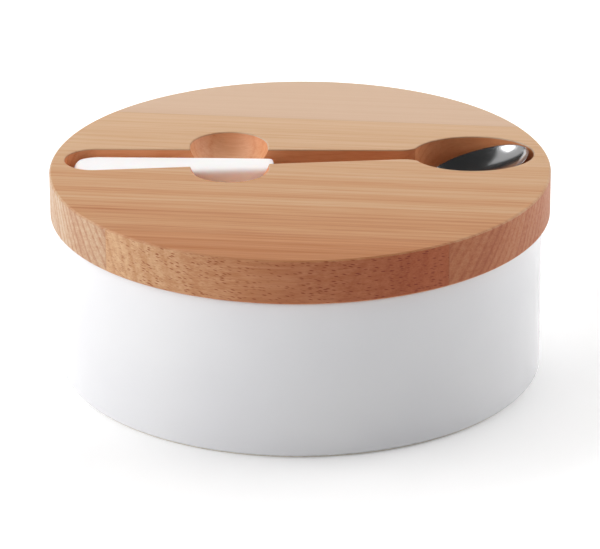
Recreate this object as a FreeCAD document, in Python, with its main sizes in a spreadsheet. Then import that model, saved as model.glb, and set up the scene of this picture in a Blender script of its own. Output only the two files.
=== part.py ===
"""Sugar bowl with a wooden lid that carries its own spoon.

A straight-sided porcelain bowl stands at the origin: +Z is up, the origin is the centre of its foot,
and +X runs along the spoon, from the end of its handle to the tip of its blade. The lid is a disc
glued up from three staves, with a spigot and a soft ring under it. The spoon lies in the middle stave,
in a channel for its handle, a scoop for the fingers and an oval well for its blade.
All sizes are millimetres, and the driving ones are in the Sizes sheet.
"""

import FreeCAD, Part
import math
import os

import Sketcher

Vector = FreeCAD.Vector
Rotation = FreeCAD.Rotation
Placement = FreeCAD.Placement

Z_AXIS = Vector(0, 0, 1)
PARTS_FOLDER = "parts"
SLACK = 0.01  # how closely an edge must match the place it is looked for
AT_ZERO = ("axis", "foot")  # places in a profile that the choice of origin puts at zero

# alias, value, what it measures
DIMENSIONS = [
    ("bowl_height", 46.0, "foot to rim"),
    ("bowl_radius", 67.8, "outside of the wall"),
    ("bowl_wall", 4.2, "thickness of the wall"),
    ("bowl_floor", 5.4, "foot to the inside of the floor"),
    ("bowl_corner_inner", 9.0, "radius inside, wall to floor"),
    ("bowl_corner_outer", 1.1, "radius outside, wall to foot"),
    ("bowl_rim_round", 1.4, "radius of both edges of the rim"),
    ("foot_outer_radius", 66.6, "outside of the foot ring"),
    ("foot_inner_radius", 60.6, "inside of the foot ring"),
    ("foot_height", 0.5, "how far the foot ring stands below the wall"),
    ("foot_hollow", 1.4, "depth of the underside inside the foot ring"),
    ("lid_radius", 70.0, "outside of the lid"),
    ("lid_thickness", 12.5, "the part of the lid above the rim"),
    ("lid_edge_bevel", 0.4, "bevel of the lid's two outer edges"),
    ("spigot_radius", 62.4, "the step under the lid"),
    ("spigot_depth", 5.0, "how far the step reaches into the bowl"),
    ("ring_width", 2.6, "radial depth of the soft ring's groove"),
    ("ring_height", 3.0, "height of the soft ring's groove"),
    ("ring_land", 1.0, "lid's underside to the groove"),
    ("lip_reach", 0.9, "how far the ring's two lips stand out of the groove"),
    ("lip_thickness", 0.7, "thickness of a lip"),
    ("grain_angle", -8.7, "direction of the staves, degrees from +X"),
    ("back_joint", 37.6, "lid's centre to the back glue line"),
    ("front_joint", 52.4, "lid's centre to the front glue line"),
    ("spoon_line", 7.8, "Y of the spoon's centre line"),
    ("channel_start", -57.6, "X of the centre of the channel's round end"),
    ("channel_end_radius", 8.3, "radius of the channel's round end"),
    ("channel_mouth_x", 28.5, "X where the channel starts to open towards the well"),
    ("channel_mouth_half", 3.6, "half width of the channel there"),
    ("mouth_round", 7.5, "radius of the channel's sides as they open into the well"),
    ("mouth_end_x", 34.5, "X where they end, inside the well"),
    ("channel_depth", 8.4, "depth of the channel"),
    ("channel_floor_round", 2.6, "radius along the channel's floor"),
    ("scoop_x", -19.6, "X of the scoop's centre line"),
    ("scoop_back_y", 17.1, "Y of the centre of its back end"),
    ("scoop_front_y", -0.5, "Y of the centre of its front end"),
    ("scoop_radius", 11.7, "radius of its round bottom"),
    ("scoop_depth", 8.0, "depth of the scoop"),
    ("well_x", 49.0, "X of the well's centre"),
    ("well_half_length", 17.1, "half length of the oval well"),
    ("well_half_width", 13.6, "half width of the oval well"),
    ("well_depth", 10.2, "depth of the well"),
    ("well_floor_round", 3.0, "radius along the well's floor"),
    ("rim_easing", 0.35, "easing of the pockets' upper edges"),
    ("handle_start", -56.2, "X of the centre of the handle's round end"),
    ("handle_end_radius", 7.2, "radius of the handle's round end"),
    ("handle_end_x", -7.1, "X of the handle's other end"),
    ("handle_end_half", 4.4, "half width there"),
    ("handle_top", 1.0, "lid's surface to the top of the handle"),
    ("handle_thickness", 7.1, "thickness of the handle"),
    ("handle_side_round", 2.9, "radius along the handle's sides"),
    ("handle_corner_round", 1.6, "radius of the handle's corners where the stem comes out"),
    ("blade_x", 50.4, "X of the blade's centre"),
    ("blade_half_length", 14.7, "half length of the blade's rim"),
    ("blade_half_width", 12.2, "half width of the blade's rim"),
    ("blade_depth", 5.3, "depth of the blade, outside"),
    ("blade_gauge", 0.9, "thickness of the steel"),
    ("blade_tilt", 15.5, "how far the blade's tip is raised, degrees"),
    ("blade_rim_drop", 3.4, "lid's surface to the centre of the blade's rim"),
    ("tang_tip_x", -36.0, "X of the tang's end inside the handle"),
    ("tang_tip_width", 2.6, "width of the tang's end"),
    ("tang_tip_gauge", 1.6, "thickness of the tang's end"),
    ("stem_width", 4.4, "width of the stem where it leaves the handle"),
    ("stem_gauge", 2.4, "thickness of the stem there"),
    ("stem_drop", 5.0, "lid's surface to the middle of the stem there"),
    ("neck_x", 31.5, "X of the neck, just before the blade"),
    ("neck_width", 3.9, "width of the neck"),
    ("neck_gauge", 2.2, "thickness of the neck"),
    ("neck_drop", 6.5, "lid's surface to the middle of the neck"),
    ("shoulder_x", 39.0, "X where the neck has run out into the blade"),
    ("shoulder_width", 9.0, "width of the shoulder"),
    ("shoulder_gauge", 1.2, "thickness of the shoulder"),
    ("shoulder_drop", 7.2, "lid's surface to the middle of the shoulder"),
]

# alias, formula, what it measures: heights and radii that follow from the driving ones
DERIVED = [
    ("lid_top", "=bowl_height + lid_thickness", "foot to the lid's surface"),
    ("bowl_bore", "=bowl_radius - bowl_wall", "inside radius of the bowl"),
    ("spigot_bottom", "=bowl_height - spigot_depth", "height of the spigot's underside"),
    ("ring_top", "=bowl_height - ring_land", "height of the soft ring's top"),
    ("ring_bottom", "=ring_top - ring_height", "height of its underside"),
    ("low_lip_top", "=ring_bottom + lip_thickness", "height of the lower lip's upper face"),
    ("high_lip_bottom", "=ring_top - lip_thickness", "height of the upper lip's lower face"),
    ("ring_seat_radius", "=spigot_radius - ring_width", "radius of the groove's floor"),
    ("ring_lip_radius", "=spigot_radius + lip_reach", "outside of the soft ring's lips"),
    ("handle_bottom", "=lid_top - handle_top - handle_thickness", "height of the handle's underside"),
]


def make_sheet(doc):
    """Write every dimension: its alias, its value or formula, and what it measures."""
    sheet = doc.addObject("Spreadsheet::Sheet", "Sizes")
    for row, (alias, content, meaning) in enumerate(DIMENSIONS + DERIVED, start=1):
        sheet.set(f"A{row}", alias)
        sheet.set(f"B{row}", str(content))
        sheet.setAlias(f"B{row}", alias)
        sheet.set(f"C{row}", meaning)
    doc.recompute()


def value_of(doc, expression):
    """The number that an expression over the sheet gives."""
    result = doc.Sizes.evalExpression(expression)
    return float(getattr(result, "Value", result))


def origin_plane(body, role):
    """The body's own origin plane with the given role, such as XY_Plane."""
    return next(item for item in body.Origin.OriginFeatures if item.Role == role)


def new_sketch(body, name, role):
    """An empty sketch on one of the body's own origin planes."""
    sketch = body.newObject("Sketcher::SketchObject", name)
    sketch.AttachmentSupport = [(origin_plane(body, role), "")]
    sketch.MapMode = "FlatFace"
    sketch.Visibility = False
    return sketch


def add_size(sketch, constraint, expression):
    """Add a dimension to a sketch and bind it to the sheet."""
    index = sketch.addConstraint(constraint)
    sketch.setExpression(f"Constraints[{index}]", expression)


def pin_point(sketch, geometry, vertex, across, along):
    """Hold one point at two expressions, measured from the sketch's origin."""
    doc = sketch.Document
    for kind, expression in (("DistanceX", across), ("DistanceY", along)):
        size = value_of(doc, expression)
        add_size(sketch, Sketcher.Constraint(kind, -1, 1, geometry, vertex, size), expression)


def polygon(sketch, corners):
    """Closed outline through corners, each an (across, along) pair of expressions."""
    doc = sketch.Document
    points = [Vector(value_of(doc, across), value_of(doc, along), 0) for across, along in corners]
    count = len(points)
    for i in range(count):
        sketch.addGeometry(Part.LineSegment(points[i], points[(i + 1) % count]), False)
    for i in range(count):
        sketch.addConstraint(Sketcher.Constraint("Coincident", i, 2, (i + 1) % count, 1))
    for i, (across, along) in enumerate(corners):
        pin_point(sketch, i, 1, across, along)


def round_ended(sketch, start, end, line, start_radius, end_half):
    """Outline along X: a round end about (start, line), tapering to a flat end at X = end."""
    doc = sketch.Document
    start_x, end_x, mid_y = (value_of(doc, item) for item in (start, end, line))
    wide, narrow = value_of(doc, start_radius), value_of(doc, end_half)
    back, flat, front, arc = range(4)
    near_back = Vector(start_x, mid_y + wide, 0)
    near_front = Vector(start_x, mid_y - wide, 0)
    far_back = Vector(end_x, mid_y + narrow, 0)
    far_front = Vector(end_x, mid_y - narrow, 0)
    circle = Part.Circle(Vector(start_x, mid_y, 0), Z_AXIS, wide)
    sketch.addGeometry(Part.LineSegment(near_back, far_back), False)
    sketch.addGeometry(Part.LineSegment(far_back, far_front), False)
    sketch.addGeometry(Part.LineSegment(far_front, near_front), False)
    sketch.addGeometry(Part.ArcOfCircle(circle, math.pi / 2, 3 * math.pi / 2), False)
    sketch.addConstraint(Sketcher.Constraint("Coincident", back, 2, flat, 1))
    sketch.addConstraint(Sketcher.Constraint("Coincident", flat, 2, front, 1))
    sketch.addConstraint(Sketcher.Constraint("Tangent", arc, 1, back, 1))
    sketch.addConstraint(Sketcher.Constraint("Tangent", arc, 2, front, 2))
    add_size(sketch, Sketcher.Constraint("Radius", arc, wide), start_radius)
    pin_point(sketch, arc, 3, start, line)
    pin_point(sketch, flat, 1, end, f"{line} + {end_half}")
    pin_point(sketch, flat, 2, end, f"{line} - {end_half}")


def edge_names(shape, wanted):
    """Names of the edges for which wanted(edge) is true."""
    return [f"Edge{number}" for number, edge in enumerate(shape.Edges, start=1) if wanted(edge)]


def level_edges(shape, height):
    """Names of the edges that lie wholly at one height."""

    def is_level(edge):
        box = edge.BoundBox
        return abs(box.ZMin - height) < SLACK and abs(box.ZMax - height) < SLACK

    return edge_names(shape, is_level)


def circle_edges(shape, radius, height):
    """Names of the full circles about Z with this radius, at this height."""

    def is_circle(edge):
        box = edge.BoundBox
        return abs(box.XLength / 2 - radius) < SLACK and abs(box.YLength / 2 - radius) < SLACK

    level = level_edges(shape, height)
    return [name for name in edge_names(shape, is_circle) if name in level]


def round_edges(body, base, name, names, alias):
    """Round the named edges of a body's feature by the size under one alias."""
    fillet = body.newObject("PartDesign::Fillet", name)
    fillet.Base = (base, names)
    fillet.Radius = value_of(body.Document, "Sizes." + alias)
    fillet.setExpression("Radius", "Sizes." + alias)
    body.Document.recompute()
    return fillet


def round_circles(body, base, name, circles, alias):
    """Round circles about Z, each given as a pair of aliases: its radius and its height."""
    doc = body.Document
    names = []
    for radius, height in circles:
        places = value_of(doc, "Sizes." + radius), value_of(doc, "Sizes." + height)
        names += circle_edges(base.Shape, *places)
    return round_edges(body, base, name, names, alias)


def turned_body(doc, name, corners):
    """A body turned about Z from a closed half profile, its corners given as pairs of aliases."""
    body = doc.addObject("PartDesign::Body", name)
    sketch = new_sketch(body, name + "_profile", "XZ_Plane")
    outline = [["0" if place in AT_ZERO else "Sizes." + place for place in corner] for corner in corners]
    polygon(sketch, outline)
    turned = body.newObject("PartDesign::Revolution", name + "_turned")
    turned.Profile = sketch
    turned.ReferenceAxis = (sketch, ["V_Axis"])
    turned.Angle = 360
    doc.recompute()
    return body, turned


def make_bowl(doc):
    """Porcelain: a straight wall, a rounded rim, a wide radius inside and a shallow foot ring."""
    corners = [
        ("axis", "foot_hollow"),
        ("foot_inner_radius", "foot_hollow"),
        ("foot_inner_radius", "foot"),
        ("foot_outer_radius", "foot"),
        ("foot_outer_radius", "foot_height"),
        ("bowl_radius", "foot_height"),
        ("bowl_radius", "bowl_height"),
        ("bowl_bore", "bowl_height"),
        ("bowl_bore", "bowl_floor"),
        ("axis", "bowl_floor"),
    ]
    body, turned = turned_body(doc, "bowl", corners)
    inside = [("bowl_bore", "bowl_floor")]
    base = [("bowl_radius", "foot_height")]
    rim = [("bowl_radius", "bowl_height"), ("bowl_bore", "bowl_height")]
    step = round_circles(body, turned, "bowl_inside", inside, "bowl_corner_inner")
    step = round_circles(body, step, "bowl_base", base, "bowl_corner_outer")
    round_circles(body, step, "bowl_rim", rim, "bowl_rim_round")
    return body


def make_seal_ring(doc):
    """Soft ring: it fills the groove round the spigot and has two thin lips towards the bowl."""
    corners = [
        ("ring_seat_radius", "ring_bottom"),
        ("ring_lip_radius", "ring_bottom"),
        ("ring_lip_radius", "low_lip_top"),
        ("spigot_radius", "low_lip_top"),
        ("spigot_radius", "high_lip_bottom"),
        ("ring_lip_radius", "high_lip_bottom"),
        ("ring_lip_radius", "ring_top"),
        ("ring_seat_radius", "ring_top"),
    ]
    return turned_body(doc, "seal_ring", corners)[0]


def make_lid_blank(doc, name):
    """The whole lid before its pockets: disc, spigot, and the soft ring's groove in the spigot."""
    corners = [
        ("axis", "spigot_bottom"),
        ("spigot_radius", "spigot_bottom"),
        ("spigot_radius", "ring_bottom"),
        ("ring_seat_radius", "ring_bottom"),
        ("ring_seat_radius", "ring_top"),
        ("spigot_radius", "ring_top"),
        ("spigot_radius", "bowl_height"),
        ("lid_radius", "bowl_height"),
        ("lid_radius", "lid_top"),
        ("axis", "lid_top"),
    ]
    return turned_body(doc, name, corners)[0]


def make_stave(doc, name, near, far):
    """One board of the lid: the blank between two lines along the grain, its outer edges eased.

    near and far are expressions for the lines' signed distances from the lid's centre, +Y side up.
    """
    board = doc.addObject("Part::Box", name + "_board")
    board.setExpression("Length", "4 * Sizes.lid_radius")
    board.setExpression("Width", f"({far}) - ({near})")
    board.setExpression("Height", "2 * Sizes.lid_top")
    # the board's corner: back along the grain by half its length, then out to the near line
    turn = "Sizes.grain_angle * 1 deg"
    board.setExpression("Placement.Rotation.Axis.z", "1")
    board.setExpression("Placement.Rotation.Angle", turn)
    board.setExpression("Placement.Base.x", f"-2 * Sizes.lid_radius * cos({turn}) - ({near}) * sin({turn})")
    board.setExpression("Placement.Base.y", f"-2 * Sizes.lid_radius * sin({turn}) + ({near}) * cos({turn})")
    sawn = doc.addObject("Part::Common", name + "_sawn")
    sawn.Base = make_lid_blank(doc, name + "_blank")
    sawn.Tool = board
    doc.recompute()
    return eased(doc, name, sawn, outer_arcs(doc, sawn.Shape), "lid_edge_bevel", "Part::Chamfer")


def outer_arcs(doc, shape):
    """The edges of the lid's outline, above and below."""
    radius = value_of(doc, "Sizes.lid_radius")

    def is_outer(edge):
        middle = edge.valueAt((edge.FirstParameter + edge.LastParameter) / 2)
        return abs(math.hypot(middle.x, middle.y) - radius) < SLACK and edge.BoundBox.ZLength < SLACK

    return edge_names(shape, is_outer)


def channel_outline(sketch):
    """The channel from above: a round end, tapering sides, and a flare into the well."""
    doc = sketch.Document
    start, line, wide = (value_of(doc, "Sizes." + alias) for alias in
                         ("channel_start", "spoon_line", "channel_end_radius"))
    mouth, half = (value_of(doc, "Sizes." + alias) for alias in ("channel_mouth_x", "channel_mouth_half"))
    radius, end = (value_of(doc, "Sizes." + alias) for alias in ("mouth_round", "mouth_end_x"))
    turn = math.asin((end - mouth) / radius)
    rise = half + radius * (1 - math.cos(turn))
    back, back_flare, flat, front_flare, front, arc = range(6)
    back_circle = Part.Circle(Vector(mouth, line + half + radius, 0), Z_AXIS, radius)
    front_circle = Part.Circle(Vector(mouth, line - half - radius, 0), Z_AXIS, radius)
    end_circle = Part.Circle(Vector(start, line, 0), Z_AXIS, wide)
    outline = [
        Part.LineSegment(Vector(start, line + wide, 0), Vector(mouth, line + half, 0)),
        Part.ArcOfCircle(back_circle, -math.pi / 2, -math.pi / 2 + turn),
        Part.LineSegment(Vector(end, line + rise, 0), Vector(end, line - rise, 0)),
        Part.ArcOfCircle(front_circle, math.pi / 2 - turn, math.pi / 2),
        Part.LineSegment(Vector(mouth, line - half, 0), Vector(start, line - wide, 0)),
        Part.ArcOfCircle(end_circle, math.pi / 2, 3 * math.pi / 2),
    ]
    for piece in outline:
        sketch.addGeometry(piece, False)
    sketch.addConstraint(Sketcher.Constraint("Tangent", back, 2, back_flare, 1))
    sketch.addConstraint(Sketcher.Constraint("Coincident", back_flare, 2, flat, 1))
    sketch.addConstraint(Sketcher.Constraint("Coincident", flat, 2, front_flare, 1))
    sketch.addConstraint(Sketcher.Constraint("Tangent", front_flare, 2, front, 1))
    sketch.addConstraint(Sketcher.Constraint("Tangent", front, 2, arc, 2))
    sketch.addConstraint(Sketcher.Constraint("Tangent", arc, 1, back, 1))
    sketch.addConstraint(Sketcher.Constraint("Vertical", flat))
    for flare in (back_flare, front_flare):
        add_size(sketch, Sketcher.Constraint("Radius", flare, radius), "Sizes.mouth_round")
    add_size(sketch, Sketcher.Constraint("Radius", arc, wide), "Sizes.channel_end_radius")
    add_size(sketch, Sketcher.Constraint("DistanceX", -1, 1, flat, 1, end), "Sizes.mouth_end_x")
    middle = "Sizes.spoon_line"
    pin_point(sketch, arc, 3, "Sizes.channel_start", middle)
    pin_point(sketch, back, 2, "Sizes.channel_mouth_x", f"{middle} + Sizes.channel_mouth_half")
    pin_point(sketch, front, 1, "Sizes.channel_mouth_x", f"{middle} - Sizes.channel_mouth_half")


def make_channel(doc):
    """Cutter for the handle's channel, rounded along its floor."""
    body = doc.addObject("PartDesign::Body", "channel_cutter")
    sketch = new_sketch(body, "channel_plan", "XY_Plane")
    channel_outline(sketch)
    floor = "Sizes.lid_top - Sizes.channel_depth"
    sketch.setExpression("AttachmentOffset.Base.z", floor)
    pad = body.newObject("PartDesign::Pad", "channel_pad")
    pad.Profile = sketch
    pad.Length = value_of(doc, "Sizes.lid_thickness")
    pad.setExpression("Length", "Sizes.lid_thickness")
    doc.recompute()
    bottom, flat_x = value_of(doc, floor), value_of(doc, "Sizes.mouth_end_x")
    level = level_edges(pad.Shape, bottom)

    def is_flat_end(edge):
        return abs(edge.BoundBox.XMin - flat_x) < SLACK

    flat_end = edge_names(pad.Shape, is_flat_end)
    names = [name for name in level if name not in flat_end]
    round_edges(body, pad, "channel_floor", names, "channel_floor_round")
    return body


def make_well(doc):
    """Cutter for the oval well that holds the blade."""
    oval = doc.addObject("Part::Ellipse", "well_outline")
    oval.setExpression("MajorRadius", "Sizes.well_half_length")
    oval.setExpression("MinorRadius", "Sizes.well_half_width")
    oval.setExpression("Placement.Base.x", "Sizes.well_x")
    oval.setExpression("Placement.Base.y", "Sizes.spoon_line")
    oval.setExpression("Placement.Base.z", "Sizes.lid_top - Sizes.well_depth")
    block = doc.addObject("Part::Extrusion", "well_block")
    block.Base = oval
    block.DirMode = "Custom"
    block.Dir = Z_AXIS
    block.Solid = True
    block.setExpression("LengthFwd", "Sizes.lid_thickness")
    doc.recompute()
    floor = value_of(doc, "Sizes.lid_top - Sizes.well_depth")
    return eased(doc, "well_cutter", block, level_edges(block.Shape, floor), "well_floor_round")


def eased(doc, name, base, names, alias, kind="Part::Fillet"):
    """A fillet or chamfer of the named edges, by the size under one alias."""
    size = value_of(doc, "Sizes." + alias)
    softened = doc.addObject(kind, name)
    softened.Base = base
    softened.Edges = [(int(edge[len("Edge"):]), size, size) for edge in names]
    doc.recompute()
    return softened


def make_scoop(doc):
    """Cutter for the finger scoop: a round-bottomed trough across the channel, with round ends."""
    height = "Sizes.lid_top - Sizes.scoop_depth + Sizes.scoop_radius"
    trough = doc.addObject("Part::Cylinder", "scoop_trough")
    trough.setExpression("Radius", "Sizes.scoop_radius")
    trough.setExpression("Height", "Sizes.scoop_back_y - Sizes.scoop_front_y")
    # turned so that the cylinder's length runs towards +Y
    trough.Placement = Placement(Vector(0, 0, 0), Rotation(Vector(1, 0, 0), -90))
    trough.setExpression("Placement.Base.x", "Sizes.scoop_x")
    trough.setExpression("Placement.Base.y", "Sizes.scoop_front_y")
    trough.setExpression("Placement.Base.z", height)
    pieces = [trough]
    for end in ("back", "front"):
        ball = doc.addObject("Part::Sphere", f"scoop_{end}")
        ball.setExpression("Radius", "Sizes.scoop_radius")
        ball.setExpression("Placement.Base.x", "Sizes.scoop_x")
        ball.setExpression("Placement.Base.y", f"Sizes.scoop_{end}_y")
        ball.setExpression("Placement.Base.z", height)
        pieces.append(ball)
    scoop = doc.addObject("Part::MultiFuse", "scoop_cutter")
    scoop.Shapes = pieces
    doc.recompute()
    return scoop


def make_middle_stave(doc):
    """The middle board, with the spoon's pockets cut in it and their upper edges eased."""
    board = make_stave(doc, "middle_board", "-Sizes.front_joint", "Sizes.back_joint")
    pockets = doc.addObject("Part::MultiFuse", "pockets")
    pockets.Shapes = [make_channel(doc), make_well(doc), make_scoop(doc)]
    cut = doc.addObject("Part::Cut", "middle_stave_cut")
    cut.Base = board
    cut.Tool = pockets
    doc.recompute()
    return eased(doc, "lid_middle_stave", cut, pocket_rims(doc, cut.Shape), "rim_easing")


def pocket_rims(doc, shape):
    """The upper edges of the pockets: at the lid's surface, and shorter than the board's own edges."""
    level = level_edges(shape, value_of(doc, "Sizes.lid_top"))
    reach = value_of(doc, "Sizes.lid_radius")

    def is_short(edge):
        return edge.BoundBox.DiagonalLength < reach

    return [name for name in edge_names(shape, is_short) if name in level]


def stem_sections(doc, body):
    """Rounded-off rectangles along X that the stem is drawn through, tang end first."""
    stations = [
        ("tang", "tang_tip_x", "tang_tip_width", "tang_tip_gauge", "stem_drop"),
        ("mouth", "handle_end_x", "stem_width", "stem_gauge", "stem_drop"),
        ("neck", "neck_x", "neck_width", "neck_gauge", "neck_drop"),
        ("shoulder", "shoulder_x", "shoulder_width", "shoulder_gauge", "shoulder_drop"),
    ]
    sketches = []
    for place, along, width, gauge, drop in stations:
        sketch = new_sketch(body, f"{body.Name}_{place}", "YZ_Plane")
        sketch.setExpression("AttachmentOffset.Base.z", "Sizes." + along)
        low, high = (f"Sizes.spoon_line {sign} Sizes.{width} / 2" for sign in "-+")
        under, over = (f"Sizes.lid_top - Sizes.{drop} {sign} Sizes.{gauge} / 2" for sign in "-+")
        polygon(sketch, [(low, under), (high, under), (high, over), (low, over)])
        sketches.append(sketch)
    return sketches


def make_stem(doc, name):
    """The steel from the tang's end to where the neck runs out into the blade."""
    body = doc.addObject("PartDesign::Body", name)
    first, *others = stem_sections(doc, body)
    loft = body.newObject("PartDesign::AdditiveLoft", name + "_drawn")
    loft.Profile = first
    loft.Sections = others
    loft.Ruled = True
    doc.recompute()
    return body


def make_oval(doc, name, lower_half, inset):
    """An ellipsoid about the centre of the blade's rim, smaller all round by inset, and tilted."""
    oval = doc.addObject("Part::Ellipsoid", name)
    oval.setExpression("Radius1", f"Sizes.blade_depth - {inset}")
    oval.setExpression("Radius2", f"Sizes.blade_half_length - {inset}")
    oval.setExpression("Radius3", f"Sizes.blade_half_width - {inset}")
    oval.Angle1 = -90
    oval.Angle2 = 0 if lower_half else 90
    # turned about -Y, which lifts the tip
    oval.Placement = Placement(Vector(0, 0, 0), Rotation(Vector(0, -1, 0), value_of(doc, "Sizes.blade_tilt")))
    oval.setExpression("Placement.Rotation.Angle", "Sizes.blade_tilt * 1 deg")
    oval.setExpression("Placement.Base.x", "Sizes.blade_x")
    oval.setExpression("Placement.Base.y", "Sizes.spoon_line")
    oval.setExpression("Placement.Base.z", "Sizes.lid_top - Sizes.blade_rim_drop")
    return oval


def make_blade(doc):
    """Steel: the lower half of an oval shell, its tip raised, with its neck, stem and tang."""
    outside = make_oval(doc, "blade_outside", True, "0")
    inside = make_oval(doc, "blade_inside", False, "Sizes.blade_gauge")
    whole = doc.addObject("Part::MultiFuse", "blade_whole")
    whole.Shapes = [outside, make_stem(doc, "stem")]
    blade = doc.addObject("Part::Cut", "spoon_blade")
    blade.Base = whole
    blade.Tool = inside
    doc.recompute()
    return blade


def make_handle(doc):
    """Moulded handle: rounded all along, with the tang's slot in its end."""
    body = doc.addObject("PartDesign::Body", "handle_body")
    sketch = new_sketch(body, "handle_outline", "XY_Plane")
    places = ("Sizes.handle_start", "Sizes.handle_end_x", "Sizes.spoon_line")
    round_ended(sketch, *places, "Sizes.handle_end_radius", "Sizes.handle_end_half")
    sketch.setExpression("AttachmentOffset.Base.z", "Sizes.handle_bottom")
    pad = body.newObject("PartDesign::Pad", "handle_pad")
    pad.Profile = sketch
    pad.Length = value_of(doc, "Sizes.handle_thickness")
    pad.setExpression("Length", "Sizes.handle_thickness")
    doc.recompute()
    end = value_of(doc, "Sizes.handle_end_x")

    def is_end_corner(edge):
        box = edge.BoundBox
        return box.ZLength > 2 * SLACK and box.XLength < SLACK and abs(box.XMin - end) < SLACK

    corners = edge_names(pad.Shape, is_end_corner)
    step = round_edges(body, pad, "handle_corners", corners, "handle_corner_round")
    bottom = value_of(doc, "Sizes.handle_bottom")
    top = value_of(doc, "Sizes.handle_bottom + Sizes.handle_thickness")
    sides = level_edges(step.Shape, bottom) + level_edges(step.Shape, top)
    round_edges(body, step, "handle_sides", sides, "handle_side_round")
    handle = doc.addObject("Part::Cut", "spoon_handle")
    handle.Base = body
    handle.Tool = make_stem(doc, "tang_slot")
    doc.recompute()
    return handle


def make_subparts(doc):
    """Every separate piece, by the name of its file."""
    outer = "Sizes.lid_radius + 1"
    return {
        "bowl": make_bowl(doc),
        "seal_ring": make_seal_ring(doc),
        "lid_back_stave": make_stave(doc, "back_board", "Sizes.back_joint", outer),
        "lid_middle_stave": make_middle_stave(doc),
        "lid_front_stave": make_stave(doc, "front_board", f"-({outer})", "-Sizes.front_joint"),
        "spoon_handle": make_handle(doc),
        "spoon_blade": make_blade(doc),
    }


def check_document(doc, subparts):
    """Stop if any object failed to rebuild, or any sub-part isn't one valid solid."""
    for item in doc.Objects:
        if "Invalid" in item.State or "Error" in item.State:
            raise RuntimeError(f"{item.Name} failed: {item.State}")
    for name, item in subparts.items():
        shape = item.Shape
        if shape.isNull() or not shape.isValid() or len(shape.Solids) != 1:
            raise RuntimeError(f"{name} is not one valid solid")


def main():
    doc = FreeCAD.newDocument("SugarBowl")
    make_sheet(doc)
    subparts = make_subparts(doc)
    doc.recompute()
    check_document(doc, subparts)
    os.makedirs(PARTS_FOLDER, exist_ok=True)
    for name, item in subparts.items():
        item.Label = name
        item.Shape.exportStep(os.path.join(PARTS_FOLDER, name + ".step"))
        print(f"{name}: {item.Shape.Volume:.1f} mm3")


main()
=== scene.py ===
import math

import bpy
from mathutils import Matrix, Vector


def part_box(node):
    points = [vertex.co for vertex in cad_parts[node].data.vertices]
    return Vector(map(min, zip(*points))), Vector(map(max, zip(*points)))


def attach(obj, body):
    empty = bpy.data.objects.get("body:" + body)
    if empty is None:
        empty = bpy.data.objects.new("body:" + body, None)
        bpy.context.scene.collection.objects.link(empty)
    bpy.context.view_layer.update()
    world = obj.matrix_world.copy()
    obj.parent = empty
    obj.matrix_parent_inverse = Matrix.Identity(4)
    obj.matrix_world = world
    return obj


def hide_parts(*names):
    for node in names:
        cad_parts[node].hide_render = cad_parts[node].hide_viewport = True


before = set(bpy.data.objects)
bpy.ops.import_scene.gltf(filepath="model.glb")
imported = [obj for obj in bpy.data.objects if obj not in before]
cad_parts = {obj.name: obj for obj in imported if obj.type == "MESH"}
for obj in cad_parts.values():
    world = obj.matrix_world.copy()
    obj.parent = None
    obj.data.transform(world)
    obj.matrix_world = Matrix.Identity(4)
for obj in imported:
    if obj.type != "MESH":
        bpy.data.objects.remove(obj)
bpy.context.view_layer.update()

MM = 0.001

# Places worked out from the frame: the lid's surface and edge, the spoon, and the level of the table
LID_LOW, LID_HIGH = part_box("lid_middle_stave")
LID_TOP = LID_HIGH.z
LID_RADIUS = (LID_HIGH.x - LID_LOW.x) / 2
HANDLE_LOW, HANDLE_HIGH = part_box("spoon_handle")
BLADE_LOW, BLADE_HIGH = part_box("spoon_blade")
SPOON_LINE = (HANDLE_LOW.y + HANDLE_HIGH.y) / 2
FOOT_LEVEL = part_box("bowl")[0].z

# The lid's boards as they were glued up: how far the grain is turned from the spoon's line, and where the
# two joints lie across the grain
GRAIN_ANGLE = math.radians(-8.7)
BACK_JOINT = 37.6 * MM
FRONT_JOINT = -52.4 * MM


# ---------------------------------------------------------------- small helpers

def linear(hex_colour):
    """An sRGB colour such as "E8D2B8", as the linear RGBA that shaders take."""
    channels = [int(hex_colour[i : i + 2], 16) / 255 for i in (0, 2, 4)]
    return [c / 12.92 if c <= 0.04045 else ((c + 0.055) / 1.055) ** 2.4 for c in channels] + [1.0]


def add(tree, kind, inputs=None, stops=None, **settings):
    """Add a node with its settings and links.

    settings are the node's properties. inputs are its sockets' values, or the node or socket linked to each.
    stops are a colour ramp's (position, sRGB colour) pairs.
    """
    node = tree.nodes.new(kind)
    for name, value in settings.items():
        setattr(node, name, value)
    for name, value in (inputs or {}).items():
        socket = node.inputs[name]
        if isinstance(value, bpy.types.Node):
            value = next(out for out in value.outputs if out.enabled)
        if isinstance(value, bpy.types.NodeSocket):
            tree.links.new(value, socket)
        else:
            socket.default_value = value
    for index, (position, colour) in enumerate(stops or []):
        band = node.color_ramp.elements
        stop = band[index] if index < len(band) else band.new(position)
        stop.position = position
        stop.color = linear(colour)
    return node


def new_material(name):
    """A material with no nodes yet, and its node tree."""
    material = bpy.data.materials.new(name)
    material.use_nodes = True
    material.node_tree.nodes.clear()
    return material, material.node_tree


def new_piece(name, points, faces, material):
    """A mesh object with one material, linked to the scene."""
    mesh = bpy.data.meshes.new(name)
    mesh.from_pydata(points, [], faces)
    mesh.update()
    mesh.materials.append(material)
    piece = bpy.data.objects.new(name, mesh)
    bpy.context.scene.collection.objects.link(piece)
    return piece


# ---------------------------------------------------------------- the lid's wood

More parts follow.
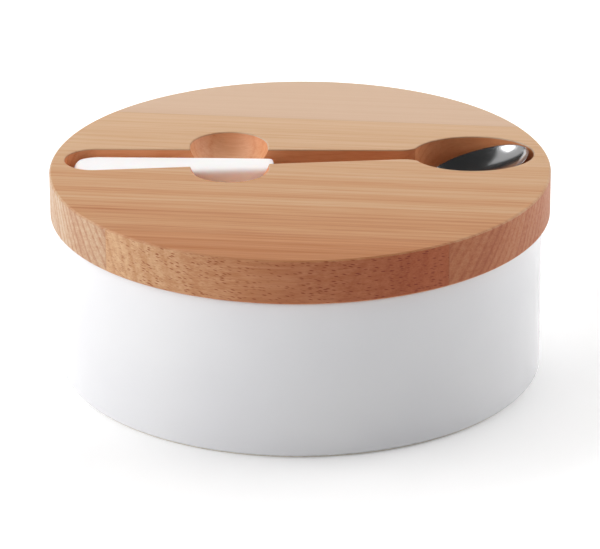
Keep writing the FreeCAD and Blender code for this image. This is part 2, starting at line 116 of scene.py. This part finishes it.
def growth_rings(tree, board, pith, ring_mm):
    """Rings round the pith: how fast each year grew, and the thin latewood line that ends it."""
    # distance from the pith, bent by a slow wander along the board
    slow = add(tree, "ShaderNodeMapping", {"Vector": board, "Scale": (8, 38, 38)})
    wander = add(tree, "ShaderNodeTexNoise", {"Vector": slow, "Scale": 1.0, "Detail": 1.0})
    section = add(tree, "ShaderNodeVectorMath", {0: board, 1: (0, 1, 1), 2: (0, -pith[0], -pith[1])},
                  operation="MULTIPLY_ADD")
    straight = add(tree, "ShaderNodeVectorMath", {0: section}, operation="LENGTH")
    radius = add(tree, "ShaderNodeMath", {0: wander, 1: 4.0 * MM, 2: straight}, operation="MULTIPLY_ADD")
    # runs of good and poor years, some 8 mm wide, which make the rings unequal
    runs = add(tree, "ShaderNodeMath", {0: radius, 1: 1 / (8.0 * MM)}, operation="MULTIPLY")
    growth = add(tree, "ShaderNodeTexNoise", {"W": runs, "Scale": 1.0, "Detail": 3.0, "Roughness": 0.6},
                 noise_dimensions="1D")
    uneven = add(tree, "ShaderNodeMath", {0: growth, 1: 2.2 * MM, 2: radius}, operation="MULTIPLY_ADD")
    count = add(tree, "ShaderNodeMath", {0: uneven, 1: 1 / (ring_mm * MM)}, operation="MULTIPLY")
    season = add(tree, "ShaderNodeMath", {0: count}, operation="FRACT")
    latewood = add(tree, "ShaderNodeValToRGB", {"Fac": season},
                   stops=[(0.0, "303030"), (0.10, "000000"), (0.55, "101010"), (0.86, "FFFFFF"),
                          (1.0, "505050")])
    return growth, latewood


def drawn_out(tree, board, along, across, roughness):
    """Noise drawn out along the grain: so many waves a metre along the board, and so many across it."""
    pulled = add(tree, "ShaderNodeMapping", {"Vector": board, "Scale": (along, across, across)})
    return add(tree, "ShaderNodeTexNoise", {"Vector": pulled, "Scale": 1.0, "Detail": 2.0,
                                            "Roughness": roughness})


def painted_face_shade(tree, normal, upright, pocket, face_shade_tones):
    """Painted shade by which way each face looks: lightest on faces that look towards -X and the back,
    darkest on those that look towards +X and the front, with the planed top in between.
    """
    towards = add(tree, "ShaderNodeVectorMath", {0: normal, 1: (0.8, -0.6, 0)}, operation="DOT_PRODUCT")
    planed = 0.38
    cut = add(tree, "ShaderNodeMix", {"Factor": upright, 2: towards, 3: planed}, data_type="FLOAT")
    shade_tint = add(tree, "ShaderNodeValToRGB", {"Fac": cut}, stops=list(zip((0.0, planed, 0.88), face_shade_tones)))
    # pockets and the turned underside take painted shade instead, as for recesses and under the lid: a little
    # darker, and darker and redder still on upright walls
    recess_shade = add(tree, "ShaderNodeMix", {"Factor": upright, 6: linear("FFC89C"), 7: linear("F1DAC4")},
                data_type="RGBA")
    return add(tree, "ShaderNodeMix", {"Factor": pocket, 6: shade_tint, 7: recess_shade}, data_type="RGBA")


def ray_flecks(tree, board, across, face_share):
    """Rays: thin plates that show as dark leaning dashes, 1.5 mm long; drawn 0.3 mm thick."""
    bend = add(tree, "ShaderNodeTexNoise", {"Vector": board, "Scale": 130.0, "Detail": 1.0})
    lean = add(tree, "ShaderNodeMath", {0: across.outputs["X"], 1: 0.16, 2: across.outputs["Z"]},
               operation="MULTIPLY_ADD")
    leaning = add(tree, "ShaderNodeCombineXYZ", {0: across.outputs["X"], 1: across.outputs["Y"], 2: lean})
    cell_long, cell_thick = 2.1 * MM, 0.50 * MM
    plates = add(tree, "ShaderNodeMapping", {"Vector": leaning,
                                             "Scale": (1 / cell_long, 1 / cell_long, 1 / cell_thick)})
    bent = add(tree, "ShaderNodeVectorMath", {0: bend.outputs["Color"], 1: (0.0, 0.3, 2.0), 2: plates},
               operation="MULTIPLY_ADD")
    rays = add(tree, "ShaderNodeTexVoronoi", {"Vector": bent, "Scale": 1.0, "Randomness": 0.9})
    chance = add(tree, "ShaderNodeSeparateColor", {"Color": rays.outputs["Color"]}).outputs["Red"]
    kept = add(tree, "ShaderNodeMapRange", {"Value": chance, "From Min": 0.10, "From Max": 0.55})
    dash = add(tree, "ShaderNodeMapRange", {"Value": rays.outputs["Distance"], "From Min": 0.18,
                                            "From Max": 0.38, "To Min": 1.0, "To Max": 0.0})
    shown = add(tree, "ShaderNodeMath", {0: face_share, 1: kept}, operation="MULTIPLY")
    return add(tree, "ShaderNodeMath", {0: dash, 1: shown}, operation="MULTIPLY")


def glue_lines(tree, across, wood):
    """The wood's colour with a hair of darker wood on each side of both joints."""
    for joint in (BACK_JOINT, FRONT_JOINT):
        offset = add(tree, "ShaderNodeMath", {0: across.outputs["Y"], 1: joint}, operation="SUBTRACT")
        gap = add(tree, "ShaderNodeMath", {0: offset}, operation="ABSOLUTE")
        line = add(tree, "ShaderNodeMapRange", {"Value": gap, "From Min": 0.05 * MM, "From Max": 0.22 * MM,
                                                "To Min": 0.22, "To Max": 0.0})
        wood = add(tree, "ShaderNodeMix", {"Factor": line, 6: wood, 7: linear("8A5638")}, data_type="RGBA")
    return wood


def beech(name, pith, ring_mm, tones, face_shade_tones, ray_share, seed):
    """Steamed beech, planed and oiled: straight fine grain, thin darker latewood lines and short ray flecks.

    pith is where the tree's centre would lie, (across the board, up) in metres: it bends the growth rings
    as they cross the board's faces. tones run from pale earlywood to dark latewood, and face_shade_tones are
    painted shade laid on the faces by the way they look, from the edge that looks towards -X to the one
    that looks towards +X. ray_share is how plainly the rays show on the board's outer edge.
    """
    material, tree = new_material(name)
    place = add(tree, "ShaderNodeTexCoord")
    # the board's own directions: X along the grain, Y across it, Z up
    board = add(tree, "ShaderNodeMapping", {"Vector": place.outputs["Object"],
                                            "Rotation": (0, 0, -GRAIN_ANGLE),
                                            "Location": (seed * 0.37, 0, 0)})
    across = add(tree, "ShaderNodeSeparateXYZ", {0: board})
    facing = add(tree, "ShaderNodeSeparateXYZ", {0: place.outputs["Normal"]})
    upright = add(tree, "ShaderNodeMath", {0: facing.outputs["Z"]}, operation="ABSOLUTE")
    sideways = add(tree, "ShaderNodeMath", {0: facing.outputs["Y"]}, operation="ABSOLUTE")
    # the lid's outer edge, and everything else that lies below the planed top
    reach = add(tree, "ShaderNodeVectorMath", {0: place.outputs["Object"], 1: (1, 1, 0)},
                operation="MULTIPLY")
    outward = add(tree, "ShaderNodeVectorMath", {0: reach}, operation="LENGTH")
    outer = add(tree, "ShaderNodeMath", {0: outward, 1: LID_RADIUS - 0.15 * MM}, operation="GREATER_THAN")
    below = add(tree, "ShaderNodeMath", {0: across.outputs["Z"], 1: LID_TOP - 0.4 * MM},
                operation="LESS_THAN")
    pocket = add(tree, "ShaderNodeMath", {0: below, 1: outer}, operation="SUBTRACT", use_clamp=True)

    growth, latewood = growth_rings(tree, board, pith, ring_mm)
    # the rings are plainest on end grain, the faces that look along the board
    long_grain = add(tree, "ShaderNodeMath", {0: upright, 1: sideways}, operation="ADD", use_clamp=True)
    ring_share = add(tree, "ShaderNodeMapRange", {"Value": long_grain, "From Min": 0.3, "From Max": 0.9,
                                                  "To Min": 0.38, "To Max": 0.11})
    # fibres and pores are far longer along the grain than across it; the finest are drawn 0.4 mm apart
    fibre = drawn_out(tree, board, 45, 2600, 0.6)
    streak = drawn_out(tree, board, 9, 800, 0.55)
    # how dark the wood is here, from 0 in pale earlywood to 1; darker towards the front of the lid, partly
    # the boards' own tone and partly painted light, with the back painted paler as sheen from the light
    # behind
    depth = add(tree, "ShaderNodeMath", {0: across.outputs["Y"], 1: -6.5}, operation="MULTIPLY")
    for pattern, share in ((growth, 0.55), (latewood, ring_share), (streak, 0.50), (fibre, 0.65)):
        depth = add(tree, "ShaderNodeMath", {0: pattern, 1: share, 2: depth}, operation="MULTIPLY_ADD")
    depth = add(tree, "ShaderNodeMath", {0: depth, 1: 0.43}, operation="SUBTRACT", use_clamp=True)
    colour = add(tree, "ShaderNodeValToRGB", {"Fac": depth}, stops=list(zip((0.0, 0.35, 0.68, 1.0), tones)))
    # the wood's colour multiplied by painted shade that depends on which way each face looks, deeper in the
    # pockets and under the lid
    shade_tint = painted_face_shade(tree, place.outputs["Normal"], upright, pocket, face_shade_tones)
    oiled = add(tree, "ShaderNodeMix", {"Factor": 1.0, 6: colour, 7: shade_tint}, data_type="RGBA",
                blend_type="MULTIPLY")
    # rays show on the outer edge where it runs along the grain
    flat_sawn = add(tree, "ShaderNodeMapRange", {"Value": sideways, "From Min": 0.5, "From Max": 0.8,
                                                  "To Max": ray_share})
    face_share = add(tree, "ShaderNodeMath", {0: outer, 1: flat_sawn}, operation="MULTIPLY")
    fleck = ray_flecks(tree, board, across, face_share)
    flecked = add(tree, "ShaderNodeMix", {"Factor": fleck, 6: oiled, 7: linear("C28D66")}, data_type="RGBA",
                  blend_type="MULTIPLY")
    height = add(tree, "ShaderNodeMath", {0: fleck, 1: -0.8, 2: fibre}, operation="MULTIPLY_ADD")
    bump = add(tree, "ShaderNodeBump", {"Height": height, "Strength": 0.3, "Distance": 0.05 * MM})
    gloss = add(tree, "ShaderNodeMapRange", {"Value": streak, "From Min": 0.3, "From Max": 0.7,
                                             "To Min": 0.48, "To Max": 0.60})
    shader = add(tree, "ShaderNodeBsdfPrincipled", {
        "Base Color": glue_lines(tree, across, flecked), "Roughness": gloss, "IOR": 1.5,
        "Specular IOR Level": 0.35, "Normal": bump})
    add(tree, "ShaderNodeOutputMaterial", {"Surface": shader})
    return material


# ---------------------------------------------------------------- the other materials

def porcelain():
    """Hard porcelain under a clear fired glaze: bright white, a mirror-sharp gloss and a faint orange peel.

    The foot ring stands on the kiln shelf, so it is wiped clean of glaze: dry, matt and a little warmer.
    """
    material, tree = new_material("glazed_porcelain")
    place = add(tree, "ShaderNodeTexCoord").outputs["Object"]
    height = add(tree, "ShaderNodeSeparateXYZ", {0: place}).outputs["Z"]
    wiped = FOOT_LEVEL + 0.45 * MM
    bare = add(tree, "ShaderNodeMapRange", {"Value": height, "From Min": wiped - 0.15 * MM, "From Max": wiped,
                                            "To Min": 1.0, "To Max": 0.0})
    # clouds in the glaze some 35 mm across, grit of 0.6 mm on the foot and an orange peel of 10 mm
    cloud = add(tree, "ShaderNodeTexNoise", {"Vector": place, "Scale": 28.0, "Detail": 2.0})
    glaze = add(tree, "ShaderNodeValToRGB", {"Fac": cloud}, stops=[(0.3, "DFDFE2"), (0.7, "E3E3E5")])
    grit = add(tree, "ShaderNodeTexNoise", {"Vector": place, "Scale": 1600.0, "Detail": 2.0})
    bisque = add(tree, "ShaderNodeValToRGB", {"Fac": grit}, stops=[(0.3, "CFC8BC"), (0.7, "E2DCD1")])
    body = add(tree, "ShaderNodeMix", {"Factor": bare, 6: glaze, 7: bisque}, data_type="RGBA")
    peel = add(tree, "ShaderNodeTexNoise", {"Vector": place, "Scale": 95.0, "Detail": 1.0})
    dry = add(tree, "ShaderNodeMath", {0: bare, 1: grit}, operation="MULTIPLY")
    relief = add(tree, "ShaderNodeMath", {0: dry, 1: 2.0, 2: peel}, operation="MULTIPLY_ADD")
    bump = add(tree, "ShaderNodeBump", {"Height": relief, "Strength": 0.12, "Distance": 0.05 * MM})
    gloss = add(tree, "ShaderNodeMapRange", {"Value": bare, "To Min": 0.09, "To Max": 0.8})
    shader = add(tree, "ShaderNodeBsdfPrincipled", {"Base Color": body, "Roughness": gloss, "IOR": 1.5,
                                                    "Normal": bump})
    add(tree, "ShaderNodeOutputMaterial", {"Surface": shader})
    return material


def polished_steel():
    """Stainless steel, pressed and buffed: a bright mirror with faint polishing lines along the spoon.

    The real lines are too fine to see, and are drawn 0.45 mm apart.
    """
    material, tree = new_material("polished_stainless_steel")
    place = add(tree, "ShaderNodeTexCoord").outputs["Object"]
    along = add(tree, "ShaderNodeMapping", {"Vector": place, "Scale": (60, 2200, 2200)})
    lines = add(tree, "ShaderNodeTexNoise", {"Vector": along, "Scale": 1.0, "Detail": 3.0})
    film = add(tree, "ShaderNodeTexNoise", {"Vector": place, "Scale": 120.0, "Detail": 2.0})
    tone = add(tree, "ShaderNodeValToRGB", {"Fac": film}, stops=[(0.3, "C6C7C9"), (0.7, "D2D2D3")])
    gloss = add(tree, "ShaderNodeMapRange", {"Value": lines, "From Min": 0.3, "From Max": 0.7,
                                             "To Min": 0.13, "To Max": 0.21})
    bump = add(tree, "ShaderNodeBump", {"Height": lines, "Strength": 0.10, "Distance": 0.01 * MM})
    shader = add(tree, "ShaderNodeBsdfPrincipled", {"Base Color": tone, "Metallic": 1.0, "Roughness": gloss,
                                                    "Normal": bump})
    add(tree, "ShaderNodeOutputMaterial", {"Surface": shader})
    return material


def moulded_white():
    """White ABS from a lightly textured mould: soft even gloss over a grain too fine to see.

    The mould's real grain is under 0.1 mm, and is drawn at 0.4 mm.
    """
    material, tree = new_material("moulded_white_abs")
    place = add(tree, "ShaderNodeTexCoord").outputs["Object"]
    grain = add(tree, "ShaderNodeTexNoise", {"Vector": place, "Scale": 1 / (0.4 * MM), "Detail": 2.0})
    cloud = add(tree, "ShaderNodeTexNoise", {"Vector": place, "Scale": 60.0, "Detail": 1.0})
    tone = add(tree, "ShaderNodeValToRGB", {"Fac": cloud}, stops=[(0.3, "F8F6F5"), (0.7, "FBF9F8")])
    gloss = add(tree, "ShaderNodeMapRange", {"Value": grain, "To Min": 0.26, "To Max": 0.38})
    bump = add(tree, "ShaderNodeBump", {"Height": grain, "Strength": 0.08, "Distance": 0.02 * MM})
    shader = add(tree, "ShaderNodeBsdfPrincipled", {"Base Color": tone, "Roughness": gloss, "IOR": 1.52,
                                                    "Subsurface Weight": 0.15, "Subsurface Scale": 2.0 * MM,
                                                    "Normal": bump})
    add(tree, "ShaderNodeOutputMaterial", {"Surface": shader})
    return material


def soft_silicone():
    """Milky white silicone, moulded: soft, dull and slightly dusty."""
    material, tree = new_material("moulded_silicone")
    place = add(tree, "ShaderNodeTexCoord").outputs["Object"]
    dust = add(tree, "ShaderNodeTexNoise", {"Vector": place, "Scale": 900.0, "Detail": 3.0})
    tone = add(tree, "ShaderNodeValToRGB", {"Fac": dust}, stops=[(0.3, "D9DAD8"), (0.7, "E4E4E1")])
    gloss = add(tree, "ShaderNodeMapRange", {"Value": dust, "To Min": 0.42, "To Max": 0.62})
    bump = add(tree, "ShaderNodeBump", {"Height": dust, "Strength": 0.1, "Distance": 0.02 * MM})
    shader = add(tree, "ShaderNodeBsdfPrincipled", {"Base Color": tone, "Roughness": gloss, "IOR": 1.41,
                                                    "Subsurface Weight": 0.25, "Subsurface Scale": 1.5 * MM,
                                                    "Normal": bump})
    add(tree, "ShaderNodeOutputMaterial", {"Surface": shader})
    return material


# ---------------------------------------------------------------- the spoon

def lofted(name, rings, material):
    """A closed smooth skin through rings of equal count, capped at both ends."""
    count = len(rings[0])
    points = [point for ring in rings for point in ring]
    faces = [tuple(range(count))[::-1]]
    for station in range(len(rings) - 1):
        start = station * count
        for corner in range(count):
            following = (corner + 1) % count
            faces.append((start + corner, start + following, start + count + following,
                          start + count + corner))
    last = (len(rings) - 1) * count
    faces.append(tuple(range(last, last + count)))
    piece = new_piece(name, points, faces, material)
    piece.data.shade_smooth()
    smooth = piece.modifiers.new("smooth", "SUBSURF")
    smooth.levels = smooth.render_levels = 2
    return piece


def fallen(distance, radius):
    """How far a rounded edge of this radius has fallen away at this distance from the end."""
    inside = min(radius, max(0.0, radius - distance))
    return radius - math.sqrt(radius * radius - inside * inside)


def between(x, stations):
    """A value at x on the straight lines through (x, value) stations."""
    (last_x, value), *others = stations
    for next_x, next_value in others:
        if x <= next_x:
            part = max(0.0, (x - last_x) / (next_x - last_x))
            return value + (next_value - value) * part
        last_x, value = next_x, next_value
    return value


def make_handle(material):
    """The white handle: flat on top with full sides, round at one end and square-cut at the stem's end."""
    end_half = 4.4 * MM
    side_round = 2.4 * MM
    corner_round = 1.6 * MM
    edge_round = 0.9 * MM
    start, end = HANDLE_LOW.x, HANDLE_HIGH.x
    end_radius = (HANDLE_HIGH.y - HANDLE_LOW.y) / 2
    centre = start + end_radius
    top, bottom = HANDLE_HIGH.z, HANDLE_LOW.z
    # the top slopes down a little from the round end to the finger scoop
    fall = [(start, 0.0), (-20 * MM, 0.4 * MM), (end, 0.6 * MM)]
    # sections lie closer together round the end and towards the square-cut edge
    stations = [centre - end_radius * math.cos(math.pi * step / 24) for step in range(1, 12)]
    stations += [centre + (end - corner_round - centre) * step / 12 for step in range(13)]
    stations += [end - corner_round * part for part in (0.7, 0.45, 0.25, 0.1, 0.0)]
    sides = 32
    roundness = 2 / 3.6  # 1 would be an ellipse, and less is squarer
    rings = []
    for x in stations:
        if x < centre:
            half_wide = math.sqrt(end_radius**2 - (centre - x) ** 2)
        else:
            half_wide = end_radius + (end_half - end_radius) * (x - centre) / (end - centre)
        half_wide -= fallen(end - x, corner_round)
        high = top - between(x, fall)
        half_tall = (high - bottom) / 2 - fallen(x - start, side_round) - fallen(end - x, edge_round)
        middle = (high + bottom) / 2
        ring = []
        for side in range(sides):
            turn = 2 * math.pi * side / sides
            across = math.copysign(abs(math.cos(turn)) ** roundness, math.cos(turn))
            tall = math.copysign(abs(math.sin(turn)) ** roundness, math.sin(turn))
            ring.append((x, SPOON_LINE + half_wide * across, middle + half_tall * tall))
        rings.append(ring)
    return lofted("handle", rings, material)


def make_blade(material):
    """The steel part: an oval bowl with its tip raised, a neck, a stem, and a flat tang in the handle."""
    tilt = math.radians(15.5)
    half_long = 14.7 * MM * math.cos(tilt)
    half_wide = (BLADE_HIGH.y - BLADE_LOW.y) / 2
    tip = BLADE_HIGH.x
    centre = tip - half_long
    rear = centre - half_long
    rim_height = LID_TOP - 3.4 * MM
    hollow = 4.5 * MM
    gauge = 0.9 * MM
    # along the spoon: the tang's end, where the stem leaves the handle, and where it has run into the bowl
    tang, mouth, neck, shoulder = BLADE_LOW.x, HANDLE_HIGH.x, 31.5 * MM, 41.0 * MM
    stem_half = [(tang, 1.3 * MM), (mouth, 2.2 * MM), (neck, 1.9 * MM)]
    stem_gauge = [(tang, 1.6 * MM), (mouth, 2.4 * MM), (neck, 2.2 * MM)]
    stem_top = [(tang, LID_TOP - 4.2 * MM), (mouth, LID_TOP - 3.8 * MM), (neck, LID_TOP - 5.4 * MM)]

    stations = [tang + (mouth - tang) * step / 6 for step in range(7)]
    stations += [mouth + (neck - mouth) * step / 10 for step in range(1, 11)]
    stations += [neck + (rear - neck) * step / 4 for step in range(1, 4)]
    stations += [centre - half_long * math.cos(math.pi * step / 28) for step in range(1, 29)]
    steps = 12
    rings = []
    for x in stations:
        # from -1 at the bowl's neck end to 1 at its tip
        span = (x - centre) / half_long
        # the plan is an oval, a little blunter at the tip than at the neck
        blunt = 2.35 if span > 0 else 2.0
        open_part = max(0.0, 1 - abs(span) ** blunt)
        # from 0 in the stem to 1 in the bowl
        blend = min(1.0, max(0.0, (x - neck) / (shoulder - neck)))
        ease = blend * blend * (3 - 2 * blend)
        stem_side = between(x, stem_half) * (1 - ease)
        half = max(0.1 * MM, ((half_wide * math.sqrt(open_part)) ** 3 + stem_side**3) ** (1 / 3))
        stem_thick = between(x, stem_gauge) * (1 - ease)
        # the tip ends in a thin rounded edge
        edge = 0.25 * MM + 0.65 * math.sqrt(max(0.0, (tip - x) * 1.5 * MM))
        thick = min(stem_thick + gauge * ease, edge)
        level = rim_height + math.tan(tilt) * (x - centre)
        top = between(x, stem_top) * (1 - ease) + level * ease
        deep = hollow * open_part**0.6
        crown = 0.35 * stem_thick
        upper, lower = [], []
        for step in range(steps + 1):
            # from -1 at one rim to 1 at the other; the metal thins and the underside draws in at the rims
            aside = -1 + 2 * step / steps
            dish = deep * max(0.0, 1 - abs(aside) ** 2.3) ** 0.85
            upper.append((x, SPOON_LINE + half * aside, top - dish - crown * aside * aside))
            inset = 0.97 if step in (0, steps) else 1.0
            under = top - dish - thick * (1 - 0.35 * aside * aside) + crown * aside * aside
            lower.append((x, SPOON_LINE + half * aside * inset, under))
        rings.append(upper + lower[::-1])
    return lofted("blade", rings, material)


# ---------------------------------------------------------------- the stage

def make_table():
    """A wide white table, matt, that glows as painted light: a little right round the bowl's foot, where it
    fills the shadow there and lights the bowl's lower wall, least some 10 cm from the bowl's centre, and more
    and more beyond, so that it fades to plain white.
    """
    material, tree = new_material("matt_white_table_painted_glow")
    place = add(tree, "ShaderNodeTexCoord").outputs["Object"]
    tooth = add(tree, "ShaderNodeTexNoise", {"Vector": place, "Scale": 3.0, "Detail": 2.0})
    tone = add(tree, "ShaderNodeValToRGB", {"Fac": tooth}, stops=[(0.3, "FAFAFA"), (0.7, "FCFCFC")])
    away = add(tree, "ShaderNodeVectorMath", {0: place}, operation="LENGTH")
    # painted light: how much the table glows, set by distance; the stops are metres from the bowl's centre
    glow = add(tree, "ShaderNodeValToRGB", {"Fac": away},
               stops=[(0.075, "727272"), (0.10, "545454"), (0.15, "7C7C7C"), (0.40, "B4B4B4")])
    shader = add(tree, "ShaderNodeBsdfPrincipled", {"Base Color": tone, "Roughness": 0.9,
                                                    "Specular IOR Level": 0.1,
                                                    "Emission Color": linear("FFFFFF"),
                                                    "Emission Strength": glow})
    add(tree, "ShaderNodeOutputMaterial", {"Surface": shader})
    ground = FOOT_LEVEL - 0.05 * MM
    half = 6.0
    table = [(-half, -half, ground), (half, -half, ground), (half, half, ground), (-half, half, ground)]
    # a low card far behind, in the table's material, so it glows too as painted light; its bright image lies
    # in the spoon's tip
    behind, card_half, card_top = 1.6, 1.5, 0.46
    card = [(-card_half, behind, ground), (card_half, behind, ground), (card_half, behind, card_top),
            (-card_half, behind, card_top)]
    for name, corners in (("floor", table), ("card", card)):
        new_piece(name, corners, [(0, 1, 2, 3)], material)


def softbox(name, turn, rise, distance, width, height, power):
    """A rectangular soft light that faces the bowl.

    turn is its direction round the bowl, degrees from straight in front towards +X; rise is degrees above
    the table. distance, width and height are metres, and power is watts.
    """
    aim = Vector((0, 0, 30 * MM))
    data = bpy.data.lights.new(name, "AREA")
    data.shape = "RECTANGLE"
    data.size = width
    data.size_y = height
    data.energy = power
    lamp = bpy.data.objects.new(name, data)
    turn, rise = math.radians(turn), math.radians(rise)
    flat = distance * math.cos(rise)
    lamp.location = aim + Vector((flat * math.sin(turn), -flat * math.cos(turn), distance * math.sin(rise)))
    lamp.rotation_euler = (aim - lamp.location).to_track_quat("-Z", "Y").to_euler()
    bpy.context.scene.collection.objects.link(lamp)
    return lamp


def make_lights():
    """Studio light in a dark room: a soft box on each side, a dim one past the left, one high behind."""
    world = bpy.data.worlds.new("studio")
    world.use_nodes = True
    tree = world.node_tree
    tree.nodes.clear()
    sky = add(tree, "ShaderNodeBackground", {"Color": linear("FFFFFF"), "Strength": 0.035})
    add(tree, "ShaderNodeOutputWorld", {"Surface": sky})
    bpy.context.scene.world = world
    softbox("left_box", turn=-75, rise=30, distance=1.0, width=1.3, height=0.9, power=9.0)
    softbox("rear_left_box", turn=-112, rise=34, distance=1.1, width=1.2, height=1.0, power=1.7)
    softbox("right_box", turn=104, rise=26, distance=1.0, width=0.8, height=0.7, power=5.4)
    # polarised, as for bright metal: it lights the wood but leaves no image of itself in the spoon
    back = softbox("back_box", turn=180, rise=68, distance=1.1, width=1.2, height=0.9, power=8.0)
    back.visible_glossy = False


def make_camera():
    """A long lens in front of the bowl and some 22 degrees above it, almost level from side to side."""
    distance = 1.1206
    elevation = 0.38922
    middle_height = 31.11 * MM
    lean = -0.00486
    stand = Vector((0, -distance * math.cos(elevation), distance * math.sin(elevation) + middle_height))
    aim = Vector((-0.15 * MM, 0, 25.64 * MM))
    swing = Matrix.Rotation(math.radians(-1.7), 3, "Z")
    stand, aim = swing @ stand, swing @ aim
    ahead = (aim - stand).normalized()
    right = ahead.cross(Vector((0, 0, 1))).normalized()
    above = right.cross(ahead)
    side = math.cos(lean) * right + math.sin(lean) * above
    top = -math.sin(lean) * right + math.cos(lean) * above
    data = bpy.data.cameras.new("camera")
    data.lens = 238.4
    data.sensor_width = 36.0
    data.clip_end = 20.0
    camera = bpy.data.objects.new("camera", data)
    rotation = Matrix((side, top, -ahead)).transposed().to_4x4()
    camera.matrix_world = Matrix.Translation(stand) @ rotation
    bpy.context.scene.collection.objects.link(camera)
    bpy.context.scene.camera = camera


# ---------------------------------------------------------------- putting it together

def dress(node, material):
    """Give a CAD piece its finished material."""
    for material_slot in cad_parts[node].material_slots:
        material_slot.material = material


def main():
    middle = beech("oiled_beech_middle", (0.150, -0.050), 2.3, ("E7C8B3", "DEBA9F", "D4A27F", "BD7D5A"),
                   ("E6F6FA", "E9E2D0", "D4AA8C"), 0.25, 1)
    front = beech("oiled_beech_front", (0.120, 0.020), 2.6, ("E6BF9F", "DEB18C", "D29E77", "BE8259"),
                  ("F2FFFF", "E7DACC", "CE9270"), 1.0, 2)
    back = beech("oiled_beech_back", (0.060, -0.120), 4.5, ("E6CDBF", "DFC3B3", "D6B6A3", "C59F87"),
                 ("F6FFFF", "E7DDCB", "DCB397"), 0.6, 3)
    dress("lid_middle_stave", middle)
    dress("lid_front_stave", front)
    dress("lid_back_stave", back)
    dress("bowl", porcelain())
    dress("seal_ring", soft_silicone())
    handle = make_handle(moulded_white())
    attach(handle, "spoon")
    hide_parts("spoon_handle")
    blade = make_blade(polished_steel())
    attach(blade, "spoon")
    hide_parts("spoon_blade")
    make_table()
    make_lights()
    make_camera()
    bpy.context.scene.view_settings.view_transform = "Standard"


main()
